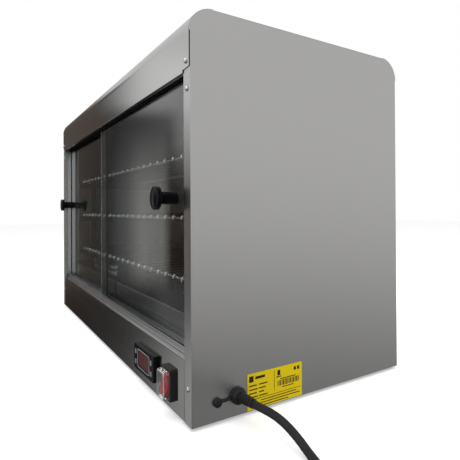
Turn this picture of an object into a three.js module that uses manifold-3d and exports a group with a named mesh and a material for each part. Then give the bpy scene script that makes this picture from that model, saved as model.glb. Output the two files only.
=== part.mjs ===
// Counter-top hot food display case: a folded stainless cabinet with a rounded top cover, two sliding
// glass doors, three wire racks, a heated base with its controls, and a mains lead.
// Millimetres. +Z up, the doors face -Y, +X is the right-hand side seen from the front.
// The origin is on the counter, under the middle of everything but the mains lead.

import * as THREE from 'three';
import { mergeVertices } from 'three/addons/utils/BufferGeometryUtils.js';
import Module from 'manifold-3d';

const wasm = await Module();
wasm.setup();

// ---- Driving dimensions ----
const WIDTH = 750;
const DEPTH = 350;
const HEIGHT = 470;
const FOOT = 4; // how far the rubber feet stand below the panels
const GAP = 0.3; // clearance between pieces that rest on each other
const SHEET = 1.2; // side panel sheet
const THIN = 1.0; // every other folded sheet
const CORNER = 30; // rounded top corners
const FLANGE = 18; // inward flanges of the side panels

const KNOB_LENGTH = 30;
const PANE_SETBACK = 8.5; // front face of the outer pane behind the front flanges
const KNOB_PROUD = KNOB_LENGTH + GAP - PANE_SETBACK;
const FRONT = -(DEPTH - KNOB_PROUD) / 2;
const REAR = FRONT + DEPTH;
const BASE = FOOT;
const TOP = FOOT + HEIGHT;
const SIDE = WIDTH / 2;
const INNER = SIDE - SHEET; // inner face of a side panel
const BETWEEN = INNER - 0.4; // half width of what lies between the side panels
const FLANGE_EDGE = SIDE - FLANGE;
const OPENING = FLANGE_EDGE - 0.6; // half width of what lies between the front flanges

const COVER = 0.9; // top cover sheet
const COVER_PROUD = COVER + GAP; // the cover lies over the flanges
const COVER_EDGE = BASE + 395.6; // lower edge of the top fascia
const TAB_EDGE = COVER_EDGE + 5; // lower edge of its tabs over the side flanges
const REAR_LIP = 69;
const ARC_START = TOP - CORNER; // where the rounded corners begin

const LEDGE = BASE + 72.3; // top of the lower fascia
const DECK = BASE + 110; // top of the inner deck
const DECK_FRONT = FRONT + 26.5;
const DECK_SLOT = { length: 44, width: 8, pitch: 80 };

const PANE = 4;
const TRACK_FRONT = FRONT + 6.4;
const FIN = 1;
const TRACK_PITCH = 7.2;
const TRACK_DEPTH = 2 * TRACK_PITCH + FIN;
const LOW_FIN_TOP = BASE + 80.3;
const HIGH_FIN_END = BASE + 394.6;
const HIGH_TRACK_TOP = BASE + 413;
const PANE_BOTTOM = LEDGE + GAP + FIN + GAP;
const PANE_TOP = HIGH_FIN_END + 9;
const PANE_END = INNER - 5.8; // the closed panes reach into the jambs
const JAMB_REACH = 12.4;

const RACK_WIRE = 3.6;
const RACK_ROD = 5;
const RACK_PITCH = 30;
const RACK_LEVELS = { lower: BASE + 147, middle: BASE + 233, upper: BASE + 319 };
const RACK_FRONT = FRONT + 45;
const RACK_REAR = REAR - 24;
const RACK_HALF = 366;

const CONTROL = { x: 238, z: BASE + 34.3, width: 76, height: 34.5, proud: 5.8 };
const SWITCH = { x: 326, z: BASE + 36.5, width: 28, height: 38, proud: 10 };

const CORD = 9;
const GLAND = { y: FRONT + 59, z: BASE + 24, length: 30, lean: 0.105 }; // its relief leans towards the rear
const COIL = { x: 565, inner: 34.5, outer: 61.5, height: 16.8 };
COIL.y = GLAND.y - (COIL.outer - CORD / 2);
const TAIL = { x: COIL.x + COIL.outer - CORD, z: 13, start: COIL.y - 40.3, length: 10 };

// ---- Finishes ----
const finish = (color, roughness, metalness) =>
  new THREE.MeshStandardMaterial({ color, roughness, metalness });
const brushedSteel = finish(0xa3a5a5, 0.35, 1);
const darkSteel = finish(0x77726c, 0.4, 1);
const aluminium = finish(0xb4b6b8, 0.35, 1);
const chrome = finish(0xc8cacc, 0.15, 1);
const blackPlastic = finish(0x0b0b0c, 0.4, 0);
const glossBlack = finish(0x060607, 0.1, 0);
const rubber = finish(0x151515, 0.8, 0);
const glass = finish(0xbfd0c8, 0.05, 0);
const clearSilicone = finish(0xe6e2e0, 0.2, 0);
const redPlastic = finish(0xc01018, 0.3, 0);
const displayRed = finish(0x2a0c0a, 0.15, 0);
const greyKey = finish(0x9aa0a6, 0.4, 0);
const yellowFilm = finish(0xe6c800, 0.5, 0);
const brass = finish(0xc0a060, 0.3, 1);

// ---- Solids ----
const model = new THREE.Group();

function add(name, geometry, material, place = [0, 0, 0]) {
  const mesh = new THREE.Mesh(geometry, material);
  mesh.name = name;
  mesh.position.set(...place);
  model.add(mesh);
}

function toSolid(geometry) {
  const bare = geometry.clone();
  bare.deleteAttribute('normal');
  bare.deleteAttribute('uv');
  const merged = mergeVertices(bare, 1e-4);
  const corners = merged.index.array;
  const kept = [];
  for (let i = 0; i < corners.length; i += 3) {
    const [a, b, c] = corners.slice(i, i + 3);
    if (a !== b && b !== c && c !== a) kept.push(a, b, c);
  }
  const vertProperties = new Float32Array(merged.attributes.position.array);
  return new wasm.Manifold(new wasm.Mesh({ numProp: 3, vertProperties, triVerts: new Uint32Array(kept) }));
}

function toGeometry(solid) {
  const mesh = solid.getMesh();
  const geometry = new THREE.BufferGeometry();
  geometry.setAttribute('position', new THREE.BufferAttribute(new Float32Array(mesh.vertProperties), 3));
  geometry.setIndex(new THREE.BufferAttribute(new Uint32Array(mesh.triVerts), 1));
  geometry.computeVertexNormals();
  return geometry;
}

function join(first, ...others) {
  return toGeometry(others.reduce((sum, other) => sum.add(toSolid(other)), toSolid(first)));
}

function cut(first, ...tools) {
  return toGeometry(tools.reduce((rest, tool) => rest.subtract(toSolid(tool)), toSolid(first)));
}

function block(x0, x1, y0, y1, z0, z1) {
  const geometry = new THREE.BoxGeometry(x1 - x0, y1 - y0, z1 - z0);
  return geometry.translate((x0 + x1) / 2, (y0 + y1) / 2, (z0 + z1) / 2);
}

const flat = (depth, curveSegments) => ({ depth, bevelEnabled: false, curveSegments });

// A shape drawn in (y, z), pushed along X.
function alongX(shape, x0, x1) {
  const toYZ = new THREE.Matrix4().makeBasis(
    new THREE.Vector3(0, 1, 0), new THREE.Vector3(0, 0, 1), new THREE.Vector3(1, 0, 0));
  return new THREE.ExtrudeGeometry(shape, flat(x1 - x0, 5)).applyMatrix4(toYZ).translate(x0, 0, 0);
}

// A shape drawn in (x, z), pushed along Y.
function alongY(shape, y0, y1) {
  const toXZ = new THREE.Matrix4().makeBasis(
    new THREE.Vector3(1, 0, 0), new THREE.Vector3(0, 0, 1), new THREE.Vector3(0, -1, 0));
  return new THREE.ExtrudeGeometry(shape, flat(y1 - y0, 2)).applyMatrix4(toXZ).translate(0, y1, 0);
}

// A shape drawn in (x, y), pushed up along Z.
const alongZ = (shape, z0, z1) => new THREE.ExtrudeGeometry(shape, flat(z1 - z0, 2)).translate(0, 0, z0);

function roundedShape(width, height, radius) {
  const [w, h] = [width / 2, height / 2];
  const shape = new THREE.Shape();
  shape.absarc(w - radius, h - radius, radius, 0, Math.PI / 2);
  shape.absarc(radius - w, h - radius, radius, Math.PI / 2, Math.PI);
  shape.absarc(radius - w, radius - h, radius, Math.PI, Math.PI * 1.5);
  shape.absarc(w - radius, radius - h, radius, Math.PI * 1.5, Math.PI * 2);
  shape.closePath();
  return shape;
}

// The middle line of a folded sheet: straight runs between corners, each corner rounded by its radius.
function foldLine(corners, radii, steps = 4) {
  const line = [corners[0]];
  for (let i = 1; i < corners.length - 1; i += 1) {
    const before = corners[i - 1].clone().sub(corners[i]).normalize();
    const after = corners[i + 1].clone().sub(corners[i]).normalize();
    const half = before.angleTo(after) / 2;
    const centre = corners[i].clone().add(before.clone().add(after).setLength(radii[i - 1] / Math.sin(half)));
    const start = corners[i].clone().addScaledVector(before, radii[i - 1] / Math.tan(half)).sub(centre);
    const turn = Math.PI - 2 * half;
    const sign = Math.sign(before.cross(after)) * -1;
    for (let k = 0; k <= steps; k += 1) {
      line.push(start.clone().rotateAround(new THREE.Vector2(), sign * turn * (k / steps)).add(centre));
    }
  }
  line.push(corners[corners.length - 1]);
  return line;
}

// The outline of a sheet of one thickness about its middle line.
function sheetShape(line, thickness) {
  const normals = line.map((point, i) => {
    const back = point.clone().sub(line[Math.max(i - 1, 0)]).normalize();
    const ahead = line[Math.min(i + 1, line.length - 1)].clone().sub(point).normalize();
    const along = back.clone().add(ahead).normalize();
    const stretch = 1 / Math.max(along.dot(i === 0 ? ahead : back), 0.5);
    return new THREE.Vector2(-along.y, along.x).multiplyScalar(stretch * (thickness / 2));
  });
  const left = line.map((point, i) => point.clone().add(normals[i]));
  const right = line.map((point, i) => point.clone().sub(normals[i]));
  return new THREE.Shape(left.concat(right.reverse()));
}

const at = (y, z) => new THREE.Vector2(y, z);

// Turned pieces: the profile is (radius, distance along the axis), drawn with the distance growing.
function turned(profile, sides = 24) {
  return new THREE.LatheGeometry(profile.map(([radius, along]) => new THREE.Vector2(radius, along)), sides);
}
const towardsFront = (geometry) => geometry.rotateX(Math.PI);
const towardsRight = (geometry) => geometry.rotateZ(-Math.PI / 2);
const upright = (geometry) => geometry.rotateX(Math.PI / 2);
const rod = (radius, length, sides = 16) =>
  turned([[0, 0], [radius, 0], [radius, length], [0, length]], sides);

function tube(curve, diameter, sides, steps) {
  const section = new THREE.Shape();
  for (let k = 0; k < sides; k += 1) {
    const turn = (k / sides) * Math.PI * 2;
    const [x, y] = [Math.cos(turn) * diameter / 2, Math.sin(turn) * diameter / 2];
    if (k === 0) section.moveTo(x, y);
    else section.lineTo(x, y);
  }
  section.closePath();
  return new THREE.ExtrudeGeometry(section, { steps, extrudePath: curve, bevelEnabled: false });
}

// ---- Side panels ----
// The skin steps out by the cover's thickness at the rounded corners, so the cover's edge is hidden there.
function sideSkinShape() {
  const shape = new THREE.Shape();
  const reach = CORNER - COVER_PROUD;
  shape.moveTo(FRONT, BASE);
  shape.lineTo(REAR, BASE);
  shape.lineTo(REAR, ARC_START);
  shape.lineTo(REAR + COVER_PROUD, ARC_START);
  shape.absarc(REAR - reach, ARC_START, CORNER, 0, Math.PI / 2);
  shape.lineTo(REAR - reach, TOP - COVER_PROUD);
  shape.lineTo(FRONT + reach, TOP - COVER_PROUD);
  shape.lineTo(FRONT + reach, TOP);
  shape.absarc(FRONT + reach, ARC_START, CORNER, Math.PI / 2, Math.PI);
  shape.lineTo(FRONT, ARC_START);
  shape.closePath();
  return shape;
}

function sidePanel(side) {
  const span = (reach) => (side > 0 ? [SIDE - reach, SIDE] : [-SIDE, reach - SIDE]);
  const skin = alongX(sideSkinShape(), ...span(SHEET));
  const front = block(...span(FLANGE), FRONT, FRONT + SHEET, BASE, ARC_START - 1);
  const rear = block(...span(FLANGE), REAR - SHEET, REAR, BASE, ARC_START - 1);
  const topZ = TOP - COVER_PROUD;
  const top = block(...span(FLANGE), FRONT + CORNER, REAR - CORNER, topZ - SHEET, topZ);
  const bottom = block(...span(FLANGE - 2), FRONT + 0.1, REAR - 0.1, BASE, BASE + SHEET);
  return join(skin, front, rear, top, bottom);
}
add('side_panel_right', sidePanel(1), brushedSteel);
add('side_panel_left', sidePanel(-1), brushedSteel);

// ---- Top cover ----
function topCover() {
  const [frontY, rearY] = [FRONT - COVER_PROUD + COVER / 2, REAR + COVER_PROUD - COVER / 2];
  const topZ = TOP - COVER / 2;
  const hemZ = COVER_EDGE + COVER / 2;
  const bend = CORNER - COVER / 2;
  const frontCorners = [at(frontY + 5, hemZ), at(frontY, hemZ), at(frontY, topZ)];
  const corners = [...frontCorners, at(rearY, topZ), at(rearY, TOP - REAR_LIP)];
  const sheet = alongX(sheetShape(foldLine(corners, [1, bend, bend], 7), COVER), -BETWEEN, BETWEEN);
  const notches = [-1, 1].map((side) => {
    const shape = new THREE.Shape();
    shape.moveTo(side * (OPENING + 0.4), COVER_EDGE - 2);
    shape.lineTo(side * (SIDE + 1), COVER_EDGE - 2);
    shape.lineTo(side * (SIDE + 1), TAB_EDGE + 5);
    shape.lineTo(side * (BETWEEN - 3), TAB_EDGE);
    shape.lineTo(side * (OPENING + 0.4), TAB_EDGE - 3);
    return alongY(shape, FRONT - 5, FRONT + 8);
  });
  return cut(sheet, ...notches);
}
add('top_cover', topCover(), brushedSteel);

// The header rail holds the top track and closes the front of the ceiling.
function headerRail() {
  const [z, rearY] = [HIGH_TRACK_TOP + GAP + THIN / 2, FRONT + 46];
  const corners = [at(FRONT + 3, z + 14), at(FRONT + 3, z), at(rearY, z), at(rearY, z + 10)];
  return alongX(sheetShape(foldLine(corners, [1.2, 1.2], 3), THIN), -BETWEEN, BETWEEN);
}
add('header_rail', headerRail(), brushedSteel);

// ---- Lower fascia, back, base and deck ----
function lowerFascia() {
  const [face, ledge] = [FRONT + THIN / 2, LEDGE - THIN / 2];
  const foot = BASE + THIN / 2;
  const corners = [at(FRONT + 20, foot), at(face, foot), at(face, ledge), at(DECK_FRONT + 8, ledge)];
  const sheet = alongX(sheetShape(foldLine(corners, [1.2, 1.2], 3), THIN), -OPENING, OPENING);
  const hole = (part, inset) => block(
    part.x - part.width / 2 + inset, part.x + part.width / 2 - inset, FRONT - 1, FRONT + 4,
    part.z - part.height / 2 + inset, part.z + part.height / 2 - inset);
  return cut(sheet, hole(CONTROL, 2.5), hole(SWITCH, 3));
}
add('lower_fascia', lowerFascia(), darkSteel);

function backPanel() {
  const face = REAR - SHEET - GAP - THIN / 2;
  const [low, high] = [BASE + 5, ARC_START - 4];
  const corners = [at(face - 14, low), at(face, low), at(face, high), at(face - 12, high)];
  return alongX(sheetShape(foldLine(corners, [1.2, 1.2], 3), THIN), -BETWEEN, BETWEEN);
}
add('back_panel', backPanel(), brushedSteel);

const BASE_PLATE_TOP = BASE + SHEET + GAP + THIN;
add('base_plate',
  block(-BETWEEN, BETWEEN, FRONT + 2, REAR - 18, BASE_PLATE_TOP - THIN, BASE_PLATE_TOP), brushedSteel);

function innerDeck() {
  const [face, z] = [DECK_FRONT + THIN / 2, DECK - THIN / 2];
  const corners = [at(face, LEDGE + GAP), at(face, z), at(REAR - 3.5, z)];
  const sheet = alongX(sheetShape(foldLine(corners, [1.2], 3), THIN), -BETWEEN, BETWEEN);
  const slots = [];
  for (const y of [FRONT + 82, REAR - 60]) {
    for (let k = -3.5; k <= 3.5; k += 1) {
      const slot = alongZ(roundedShape(DECK_SLOT.length, DECK_SLOT.width, 3.9), DECK - 4, DECK + 4);
      slots.push(slot.translate(k * DECK_SLOT.pitch, y, 0));
    }
  }
  return cut(sheet, ...slots);
}
add('inner_deck', innerDeck(), darkSteel);

// ---- Door tracks and jambs ----
// A double channel: a floor and three fins, with a groove for each pane.
function channelShape(floorAt, finEnd, thickness) {
  const shape = new THREE.Shape();
  const towards = Math.sign(finEnd - floorAt);
  shape.moveTo(0, floorAt);
  shape.lineTo(0, finEnd);
  for (let k = 0; k < 3; k += 1) {
    const start = k * TRACK_PITCH;
    shape.lineTo(start, finEnd);
    shape.lineTo(start + FIN, finEnd);
    if (k < 2) {
      shape.lineTo(start + FIN, floorAt + towards * thickness);
      shape.lineTo(start + TRACK_PITCH, floorAt + towards * thickness);
    }
  }
  shape.lineTo(TRACK_DEPTH, floorAt);
  shape.closePath();
  return shape;
}

const lowTrack = alongX(channelShape(LEDGE + GAP, LOW_FIN_TOP, FIN), -BETWEEN, BETWEEN);
add('bottom_track', lowTrack.translate(0, TRACK_FRONT, 0), aluminium);
const highTrack = alongX(channelShape(HIGH_TRACK_TOP, HIGH_FIN_END, 2), -BETWEEN, BETWEEN);
add('top_track', highTrack.translate(0, TRACK_FRONT, 0), blackPlastic);

function jamb(side) {
  const corners = channelShape(BETWEEN, BETWEEN - JAMB_REACH, FIN).getPoints();
  const shape = new THREE.Shape(corners.map((point) => at(side * point.y, point.x + TRACK_FRONT)));
  return alongZ(shape, LOW_FIN_TOP + GAP, HIGH_FIN_END - GAP);
}
add('jamb_right', jamb(1), aluminium);

// The outer pane never comes as far as the left jamb, so its groove is closed there.
const closedGroove = block(
  -BETWEEN, JAMB_REACH - BETWEEN, TRACK_FRONT, TRACK_FRONT + TRACK_PITCH + FIN,
  LOW_FIN_TOP + GAP, HIGH_FIN_END - GAP);
add('jamb_left', join(jamb(-1), closedGroove), aluminium);

// ---- Sliding doors: pane, turned knob and its screw ----
const KNOB_HEIGHT = BASE + 255.5;
const DOORS = {
  right: { from: -37.6, to: PANE_END, knob: 317, face: FRONT + PANE_SETBACK },
  left: { from: -PANE_END, to: -20.3, knob: -332, face: FRONT + PANE_SETBACK + TRACK_PITCH },
};
const SCREW = 4;
const HOLE = 6;

function doorPane(door) {
  const slab = block(door.from, door.to, door.face, door.face + PANE, PANE_BOTTOM, PANE_TOP);
  const hole = rod(HOLE / 2, PANE + 4).translate(door.knob, door.face - 2, KNOB_HEIGHT);
  return cut(slab, hole);
}

// From the glass outwards: chamfered foot, stem, rear rim, V-groove, front rim and a shallow dome.
const KNOB_PROFILE = [
  [0, 0], [7, 0], [7.7, 1], [7.7, 21.6], [9, 22.6], [13, 23.2], [14.3, 24.2],
  [14.3, 24.9], [12.6, 26], [14.2, 27.1],
  [14.4, 27.9], [13.2, 29], [9, 29.7], [0, KNOB_LENGTH]];

function knob() {
  const bore = rod(SCREW / 2 + 0.3, 12).translate(0, -1, 0);
  return towardsFront(cut(turned(KNOB_PROFILE, 24), bore));
}

function knobScrew() {
  const profile = [[0, 0], [2.4, 0], [4, 0.7], [4, 2.2], [SCREW / 2, 2.2], [SCREW / 2, 12], [0, 12]];
  return towardsFront(turned(profile, 20));
}

for (const [side, door] of Object.entries(DOORS)) {
  add(`door_glass_${side}`, doorPane(door), glass);
  add(`knob_${side}`, knob(), glossBlack, [door.knob, door.face - GAP, KNOB_HEIGHT]);
  add(`knob_screw_${side}`, knobScrew(), chrome, [door.knob, door.face + PANE + GAP + 2.2, KNOB_HEIGHT]);
}

// ---- Wire racks, the frames that carry them, and the water tray ----
function wireRack(z) {
  const parts = [];
  const count = 24;
  for (let k = 0; k < count; k += 1) {
    const x = (k - (count - 1) / 2) * RACK_PITCH;
    parts.push(rod(RACK_WIRE / 2, RACK_REAR - RACK_FRONT, 6).translate(x, RACK_FRONT, z));
  }
  const rodZ = z - RACK_WIRE / 2 - RACK_ROD / 2 + 0.3;
  for (const y of [RACK_FRONT + 5, (RACK_FRONT + RACK_REAR) / 2, RACK_REAR - 5]) {
    parts.push(towardsRight(rod(RACK_ROD / 2, 2 * RACK_HALF, 8)).translate(-RACK_HALF, y, rodZ));
  }
  return join(...parts);
}
for (const [level, z] of Object.entries(RACK_LEVELS)) add(`rack_${level}`, wireRack(z), chrome);

function rackFrame(side) {
  const span = (from, to) => (side > 0 ? [from, to] : [-to, -from]);
  const [wall, toe] = [BETWEEN, BETWEEN - 12];
  const [frontY, rearY] = [RACK_FRONT - 2, RACK_REAR + 4];
  const pieces = [FRONT + 70, REAR - 80].map((y) => block(
    ...span(wall - 2, wall), y, y + 14, DECK + 4, RACK_LEVELS.upper + 12));
  for (const level of Object.values(RACK_LEVELS)) {
    const seat = level - RACK_WIRE / 2 - RACK_ROD + 0.3 - GAP;
    pieces.push(block(...span(toe, wall), frontY, rearY, seat - 1.5, seat));
    pieces.push(block(...span(wall - 1.5, wall), frontY, rearY, seat - 12, seat));
  }
  return join(...pieces);
}
add('rack_frame_right', rackFrame(1), brushedSteel);
add('rack_frame_left', rackFrame(-1), brushedSteel);

const TRAY = { x: -225, y: FRONT + 172, width: 180, depth: 220, height: 9 };
function waterTray() {
  const outer = alongZ(roundedShape(TRAY.width - 12, TRAY.depth - 12, 10), 0, TRAY.height);
  const rim = alongZ(roundedShape(TRAY.width, TRAY.depth, 14), TRAY.height - 1.2, TRAY.height);
  const inside = alongZ(roundedShape(TRAY.width - 15, TRAY.depth - 15, 9), 1.2, TRAY.height + 1);
  return cut(join(outer, rim), inside);
}
add('water_tray', waterTray(), brushedSteel, [TRAY.x, TRAY.y, DECK + GAP]);

// ---- Heated base: element, its brackets, probe and terminal block ----
const ELEMENT = { z: DECK - 18, left: -300, right: 160, diameter: 8 };
const ELEMENT_ROWS = [FRONT + 100, FRONT + 180, FRONT + 260];

function heatingElement() {
  const points = [];
  const bend = 40;
  ELEMENT_ROWS.forEach((y, row) => {
    const toLeft = row % 2 === 0;
    const ends = toLeft ? [ELEMENT.right, ELEMENT.left + bend] : [ELEMENT.left + bend, ELEMENT.right - bend];
    const from = row === 0 ? ELEMENT.right + bend : ends[0];
    for (let k = 0; k <= 4; k += 1) {
      points.push(new THREE.Vector3(from + (ends[1] - from) * (k / 4), y, ELEMENT.z));
    }
    if (row < ELEMENT_ROWS.length - 1) {
      const turnX = toLeft ? ends[1] - bend * 0.72 : ends[1] + bend * 0.72;
      const outX = toLeft ? ends[1] - bend : ends[1] + bend;
      points.push(new THREE.Vector3(turnX, y + bend * 0.3, ELEMENT.z));
      points.push(new THREE.Vector3(outX, y + bend, ELEMENT.z));
      points.push(new THREE.Vector3(turnX, y + bend * 1.7, ELEMENT.z));
    }
  });
  return tube(new THREE.CatmullRomCurve3(points, false, 'centripetal'), ELEMENT.diameter, 8, 56);
}
add('heating_element', heatingElement(), darkSteel);

function elementBracket() {
  const [low, high] = [BASE_PLATE_TOP + GAP + THIN / 2, ELEMENT.z - ELEMENT.diameter / 2 - GAP - THIN / 2];
  const corners = [at(-14, low), at(0, low), at(0, high), at(14, high)];
  const profile = sheetShape(foldLine(corners, [1.5, 1.5], 3), THIN);
  return alongY(profile, ELEMENT_ROWS[0] - 20, ELEMENT_ROWS[2] + 20);
}
add('element_bracket_left', elementBracket(), brushedSteel, [-180, 0, 0]);
add('element_bracket_right', elementBracket(), brushedSteel, [60, 0, 0]);

function terminalBlock() {
  const [length, depth, height] = [42, 22, 20];
  const body = block(-length / 2, length / 2, -depth / 2, depth / 2, 0, height);
  const slots = [-1, 1].map((k) => block(k * 7 - 1, k * 7 + 1, -depth, depth, height - 5, height + 2));
  return cut(body, ...slots);
}
add('terminal_block', terminalBlock(), greyKey, [300, GLAND.y + 60, BASE_PLATE_TOP + GAP]);

function sensorProbe() {
  const profile = [[0, 0], [2.2, 0.6], [3, 2], [3, 34], [2.2, 35], [1.6, 46], [0, 46]];
  return towardsRight(turned(profile, 12));
}
add('sensor_probe', sensorProbe(), chrome, [250, REAR - 12, BASE + 200]);

// ---- Temperature controller ----
const BEZEL_FRONT = FRONT - GAP - CONTROL.proud;
const WINDOW = { width: 40, height: 21, depth: 1.6 };
const KEY = { x: 29.5, z: 7.2, width: 4.6, height: 7.4, travel: 0.6, proud: 0.9 };
const KEYS = [[-1, 1], [-1, -1], [1, 1], [1, -1]];

function controllerBody() {
  const bezel = alongY(roundedShape(CONTROL.width, CONTROL.height, 2.5), BEZEL_FRONT, FRONT - GAP);
  const body = block(-34.8, 34.8, FRONT - GAP - 1, FRONT + 56, -14, 14);
  const opening = roundedShape(WINDOW.width, WINDOW.height, 1.5);
  const recess = alongY(opening, BEZEL_FRONT - 1, BEZEL_FRONT + WINDOW.depth);
  const keyHoles = KEYS.map(([right, up]) => alongY(
    roundedShape(KEY.width, KEY.height, 1.8), BEZEL_FRONT - 1, BEZEL_FRONT + 3)
    .translate(right * KEY.x, 0, up * KEY.z));
  return cut(join(bezel, body), recess, ...keyHoles);
}
add('controller_body', controllerBody(), glossBlack, [CONTROL.x, 0, CONTROL.z]);

const windowPlate = alongY(
  roundedShape(WINDOW.width - 2 * GAP, WINDOW.height - 2 * GAP, 1.3),
  BEZEL_FRONT + 0.2, BEZEL_FRONT + WINDOW.depth - GAP);
add('controller_window', windowPlate, displayRed, [CONTROL.x, 0, CONTROL.z]);

const KEY_NAMES = ['key_upper_left', 'key_lower_left', 'key_upper_right', 'key_lower_right'];
KEYS.forEach(([right, up], i) => {
  const cap = alongY(
    roundedShape(KEY.width - 2 * GAP, KEY.height - 2 * GAP, 1.5),
    BEZEL_FRONT - KEY.proud, BEZEL_FRONT + 3 - KEY.travel - GAP);
  add(KEY_NAMES[i], cap, greyKey, [CONTROL.x + right * KEY.x, 0, CONTROL.z + up * KEY.z]);
});

// ---- Switch: housing, rocker and clear boot ----
const SWITCH_FACE = FRONT - GAP - SWITCH.proud;
const ROCKER = { width: 17, height: 25, proud: 3.4, depth: 6, tilt: THREE.MathUtils.degToRad(9) };
const BOOT = { width: 24, height: 33, wall: 0.9, proud: 7 };

function switchHousing() {
  const body = alongY(roundedShape(SWITCH.width, SWITCH.height, 3), SWITCH_FACE, FRONT - GAP);
  const shank = block(-10.6, 10.6, FRONT - GAP - 1, FRONT + 22, -15.6, 15.6);
  const halfWell = ROCKER.width / 2 + 0.6;
  const well = block(-halfWell, halfWell, SWITCH_FACE - 1, SWITCH_FACE + 12, -14, 14);
  return cut(join(body, shank), well);
}
add('switch_housing', switchHousing(), blackPlastic, [SWITCH.x, 0, SWITCH.z]);

// The rocker's face is a shallow V, tilted so that its upper half is pressed in at rest.
function switchRocker() {
  const { proud, depth } = ROCKER;
  const half = ROCKER.height / 2;
  const shape = new THREE.Shape();
  shape.moveTo(depth, -half + 4);
  shape.lineTo(depth, half - 4);
  shape.lineTo(1, half);
  shape.lineTo(-proud, half - 0.6);
  shape.lineTo(-proud + 2.2, 0);
  shape.lineTo(-proud, -half + 0.6);
  shape.lineTo(1, -half);
  shape.closePath();
  return alongX(shape, -ROCKER.width / 2, ROCKER.width / 2).rotateX(-ROCKER.tilt);
}
add('switch_rocker', switchRocker(), redPlastic, [SWITCH.x, SWITCH_FACE, SWITCH.z]);

function switchBoot() {
  const [front, back] = [SWITCH_FACE - BOOT.proud, SWITCH_FACE - GAP];
  const outer = alongY(roundedShape(BOOT.width, BOOT.height, 4), front, back);
  const inner = alongY(
    roundedShape(BOOT.width - 2 * BOOT.wall, BOOT.height - 2 * BOOT.wall, 3.2), front + BOOT.wall, back + 1);
  return cut(outer, inner);
}
add('switch_boot', switchBoot(), clearSilicone, [SWITCH.x, 0, SWITCH.z]);

// ---- Rivets and feet ----
const RIVET_HEIGHTS = { cover: BASE + 408, upper: BASE + 377, lower: BASE + 40.4 };
const RIVET_PROFILE = [[0, 0], [2.9, 0], [2.8, 0.7], [2.1, 1.5], [1.1, 1.9], [0, 2]];
for (const [side, x] of [['right', SIDE - 9], ['left', 9 - SIDE]]) {
  for (const [where, z] of Object.entries(RIVET_HEIGHTS)) {
    const face = where === 'cover' ? FRONT - COVER_PROUD : FRONT;
    add(`rivet_${where}_${side}`, towardsFront(turned(RIVET_PROFILE, 12)), chrome, [x, face - 0.1, z]);
  }
}

const FOOT_PROFILE = [[0, 0], [10.5, 0], [12, 1.2], [12, BASE + SHEET], [0, BASE + SHEET]];
for (const [across, x] of [['right', SIDE - 42], ['left', 42 - SIDE]]) {
  for (const [along, y] of [['front', FRONT + 42], ['rear', REAR - 42]]) {
    add(`foot_${along}_${across}`, upright(turned(FOOT_PROFILE, 20)), rubber, [x, y, 0]);
  }
}

// ---- Cord outlet, mains lead and label on the right side ----
const COLLAR_PROFILE = [[0, 0], [10, 0], [10, 4.2], [9.2, 6.4], [7.8, 7.8], [6, 8.4], [0, 8.4]];
const RELIEF_PROFILE = [[0, 3], [6.2, 3], [6.1, 12], [5.4, GLAND.length], [0, GLAND.length]];
function cordGland() {
  const relief = towardsRight(turned(RELIEF_PROFILE, 24)).rotateZ(GLAND.lean);
  return join(towardsRight(turned(COLLAR_PROFILE, 24)), relief);
}
add('cord_gland', cordGland(), blackPlastic, [SIDE + GAP, GLAND.y, GLAND.z]);

function glandTether() {
  const buttonShape = turned([[0, 0], [5.5, 0], [5.5, 2.6], [4.4, 3.8], [0, 4.2]], 16);
  const button = towardsRight(buttonShape).translate(0, -27, -2);
  const arm = block(0.4, 2.6, -24, -10.6, -1.3, 1.3).rotateX(0.07);
  return join(button, arm);
}
add('gland_tether', glandTether(), blackPlastic, [SIDE + GAP, GLAND.y, GLAND.z]);

// From the gland straight out, in one easy bend down to the counter, and along it to the coil.
const CORD_ROUTE = [
  [405.5, 3.2, 28], [414, 4.4, 27.9], [423.5, 6.4, 27.4], [433, 8.8, 26.2], [442.5, 11.1, 23.9],
  [452, 13.1, 20.4], [461.5, 14.5, 16.2], [471, 15, 12.1], [480.5, 14.4, 8.7], [490, 13.1, 6.5],
  [500, 11.1, 5.2], [510, 8.7, 4.75], [520, 6.3, 4.7], [530, 3.9, 4.7], [540, 1.9, 4.7]];
function mainsCord() {
  const points = CORD_ROUTE.map(([x, aside, z]) => new THREE.Vector3(x, GLAND.y + aside, z));
  return tube(new THREE.CatmullRomCurve3(points, false, 'centripetal'), CORD, 10, 24);
}
add('mains_cord', mainsCord(), rubber);

function cordCoil() {
  const { inner, outer, height } = COIL;
  const ring = [
    [inner, 2], [inner + 2, 0], [outer - 2, 0], [outer, 2], [outer, height - 2], [outer - 2, height]];
  const closed = ring.concat([[inner + 2, height], [inner, height - 2], [inner, 2]]);
  const entryEnd = CORD_ROUTE.at(-1)[0] - COIL.x + GAP;
  const entry = block(-outer, entryEnd, outer - 12, outer + 6, -1, 12);
  return cut(upright(turned(closed, 32)), entry);
}
add('cord_coil', cordCoil(), rubber, [COIL.x, COIL.y, GAP]);

const tailLine = new THREE.LineCurve3(
  new THREE.Vector3(TAIL.x, TAIL.start, TAIL.z), new THREE.Vector3(TAIL.x, TAIL.start - TAIL.length, TAIL.z));
add('cord_tail', tube(tailLine, CORD, 10, 2), rubber);

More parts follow.
